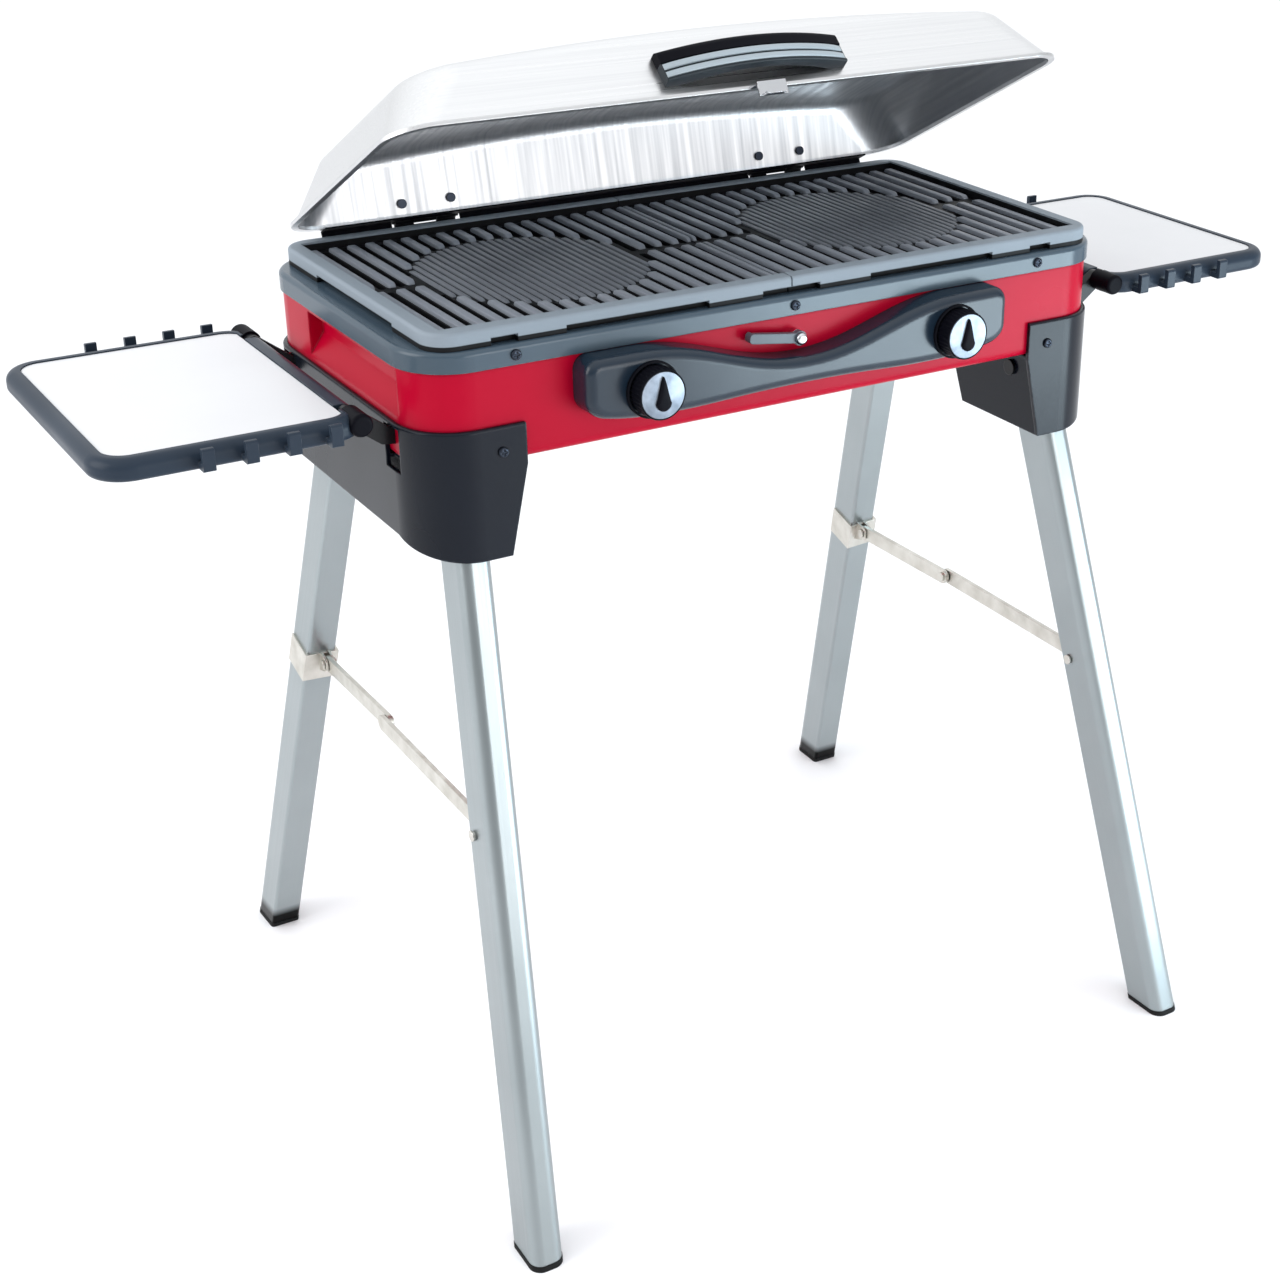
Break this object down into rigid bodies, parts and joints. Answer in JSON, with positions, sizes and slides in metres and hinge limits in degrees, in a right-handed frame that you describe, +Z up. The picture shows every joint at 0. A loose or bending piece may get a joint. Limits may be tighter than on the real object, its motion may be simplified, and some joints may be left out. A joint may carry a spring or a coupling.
{
  "type": "gas barbecue grill",
  "caption": "Free-standing gas barbecue on folding legs: red firebox with cast grill plates, hinged lid with handle, front knobs, lid latch and fold-down side tables.",
  "frame": {"origin": "on the floor under the middle of the firebox", "axes": "+Z up, +X to the right as seen from the knobs, +Y to the back (lid hinge)"},
  "size_m": [1.104, 0.6366, 0.9091],
  "materials": {
    "firebox_paint": "gloss crimson enamel",
    "rim_grey": "satin blue-grey paint",
    "housing_grey": "satin blue-grey plastic",
    "fascia_grey": "satin light blue-grey plastic",
    "plate_iron": "seasoned cast grill plate",
    "lid_steel": "brushed stainless sheet",
    "black_plastic": "fine-grained black plastic",
    "handle_grey": "satin grey plastic",
    "leg_aluminium": "satin anodised",
    "foot_rubber": "matt",
    "zinc_steel": "zinc plated",
    "bright_steel": "bright plated",
    "black_steel": "satin black",
    "knob_silver": "silver finish",
    "latch_grey": "satin",
    "table_frame_grey": "satin blue-grey plastic",
    "table_plate": "satin near-white",
    "brass": "turned",
    "burner_steel": "pressed sheet",
    "pan_metal": "pressed sheet",
    "igniter_white": "glazed ceramic look"
  },
  "bodies": {
    "firebox": {"firebox_shell": "firebox_paint", "top_rim": "rim_grey", "drip_pan": "pan_metal", "left_grill_plate": "plate_iron", "right_grill_plate": "plate_iron", "left_burner": "burner_steel", "right_burner": "burner_steel", "left_gas_valve": "brass", "right_gas_valve": "brass", "gas_manifold": "burner_steel", "gas_inlet": "brass", "igniters": "igniter_white", "fascia": "fascia_grey", "knob_bezels": "black_plastic", "latch_stud": "bright_steel", "left_end_housing": "housing_grey", "right_end_housing": "housing_grey", "case_screws": "black_steel", "leg_pivot_pins": "black_steel", "table_brackets": "black_steel", "body_hinge_leaves": "black_steel", "hinge_pins": "black_steel"},
    "lid": {"lid_shell": "lid_steel", "lid_hinge_strip": "black_plastic", "lid_handle": "handle_grey", "lid_handle_grip": "black_plastic", "lid_catch": "bright_steel", "lid_hinge_leaves": "black_steel", "lid_hinge_screws": "bright_steel"},
    "latch": {"front_latch": "latch_grey"},
    "left_knob": {"left_knob": "knob_silver", "left_knob_pointer": "black_plastic"},
    "left_table": {"left_table_frame": "table_frame_grey", "left_table_plate": "table_plate", "left_table_knuckles": "black_plastic"},
    "left_rear_leg": {"left_rear_leg": "leg_aluminium", "left_rear_foot": "foot_rubber", "left_stay_bracket": "zinc_steel"},
    "left_front_leg": {"left_front_leg": "leg_aluminium", "left_front_foot": "foot_rubber"},
    "left_stay_rear": {"left_stay_rear_bar": "zinc_steel", "left_stay_rear_rivets": "zinc_steel"},
    "left_stay_front": {"left_stay_front_bar": "zinc_steel", "left_stay_front_rivet": "zinc_steel"},
    "right_knob": {"right_knob": "knob_silver", "right_knob_pointer": "black_plastic"},
    "right_table": {"right_table_frame": "table_frame_grey", "right_table_plate": "table_plate", "right_table_knuckles": "black_plastic"},
    "right_rear_leg": {"right_rear_leg": "leg_aluminium", "right_rear_foot": "foot_rubber", "right_stay_bracket": "zinc_steel"},
    "right_front_leg": {"right_front_leg": "leg_aluminium", "right_front_foot": "foot_rubber"},
    "right_stay_rear": {"right_stay_rear_bar": "zinc_steel", "right_stay_rear_rivets": "zinc_steel"},
    "right_stay_front": {"right_stay_front_bar": "zinc_steel", "right_stay_front_rivet": "zinc_steel"}
  },
  "joints": [
    {"name": "lid_hinge", "type": "hinge", "parent": "firebox", "child": "lid", "pos_m": [0, 0.157, 0.733], "axis": [1, 0, 0], "range_deg": [-67.4, 27.6]},
    {"name": "latch_turn", "type": "hinge", "parent": "firebox", "child": "latch", "pos_m": [0, -0.161, 0.683], "axis": [0, 1, 0], "range_deg": [0, 82]},
    {"name": "left_knob_turn", "type": "hinge", "parent": "firebox", "child": "left_knob", "pos_m": [-0.1435, -0.187, 0.67], "axis": [0, -1, 0], "range_deg": [0, 180]},
    {"name": "left_table_fold", "type": "hinge", "parent": "firebox", "child": "left_table", "pos_m": [-0.358, 0, 0.665], "axis": [0, -1, 0], "range_deg": [0, 90]},
    {"name": "left_rear_leg_fold", "type": "hinge", "parent": "firebox", "child": "left_rear_leg", "pos_m": [-0.279, 0.1143, 0.602], "axis": [-1, 0, 0], "range_deg": [0, 17]},
    {"name": "left_front_leg_fold", "type": "hinge", "parent": "firebox", "child": "left_front_leg", "pos_m": [-0.279, -0.1143, 0.602], "axis": [1, 0, 0], "range_deg": [0, 17]},
    {"name": "left_stay_rear_fold", "type": "hinge", "parent": "left_rear_leg", "child": "left_stay_rear", "pos_m": [-0.2975, 0.1635, 0.334], "axis": [-1, 0, 0], "range_deg": [0, 59.2]},
    {"name": "left_stay_front_fold", "type": "hinge", "parent": "left_front_leg", "child": "left_stay_front", "pos_m": [-0.3025, -0.185, 0.334], "axis": [1, 0, 0], "range_deg": [0, 24.8]},
    {"name": "right_knob_turn", "type": "hinge", "parent": "firebox", "child": "right_knob", "pos_m": [0.1435, -0.187, 0.67], "axis": [0, -1, 0], "range_deg": [0, 180]},
    {"name": "right_table_fold", "type": "hinge", "parent": "firebox", "child": "right_table", "pos_m": [0.358, 0, 0.665], "axis": [0, 1, 0], "range_deg": [0, 90]},
    {"name": "right_rear_leg_fold", "type": "hinge", "parent": "firebox", "child": "right_rear_leg", "pos_m": [0.279, 0.1143, 0.602], "axis": [-1, 0, 0], "range_deg": [0, 17]},
    {"name": "right_front_leg_fold", "type": "hinge", "parent": "firebox", "child": "right_front_leg", "pos_m": [0.279, -0.1143, 0.602], "axis": [1, 0, 0], "range_deg": [0, 17]},
    {"name": "right_stay_rear_fold", "type": "hinge", "parent": "right_rear_leg", "child": "right_stay_rear", "pos_m": [0.2975, 0.1635, 0.334], "axis": [-1, 0, 0], "range_deg": [0, 59.2]},
    {"name": "right_stay_front_fold", "type": "hinge", "parent": "right_front_leg", "child": "right_stay_front", "pos_m": [0.3025, -0.185, 0.334], "axis": [1, 0, 0], "range_deg": [0, 24.8]}
  ],
  "couplings": [
    {"joint": "left_front_leg_fold", "follows": "left_rear_leg_fold", "ratio": 1},
    {"joint": "left_stay_rear_fold", "follows": "left_rear_leg_fold", "ratio": 3.4811},
    {"joint": "left_stay_front_fold", "follows": "left_rear_leg_fold", "ratio": 1.4543},
    {"joint": "right_front_leg_fold", "follows": "right_rear_leg_fold", "ratio": 1},
    {"joint": "right_stay_rear_fold", "follows": "right_rear_leg_fold", "ratio": 3.4811},
    {"joint": "right_stay_front_fold", "follows": "right_rear_leg_fold", "ratio": 1.4543}
  ]
}
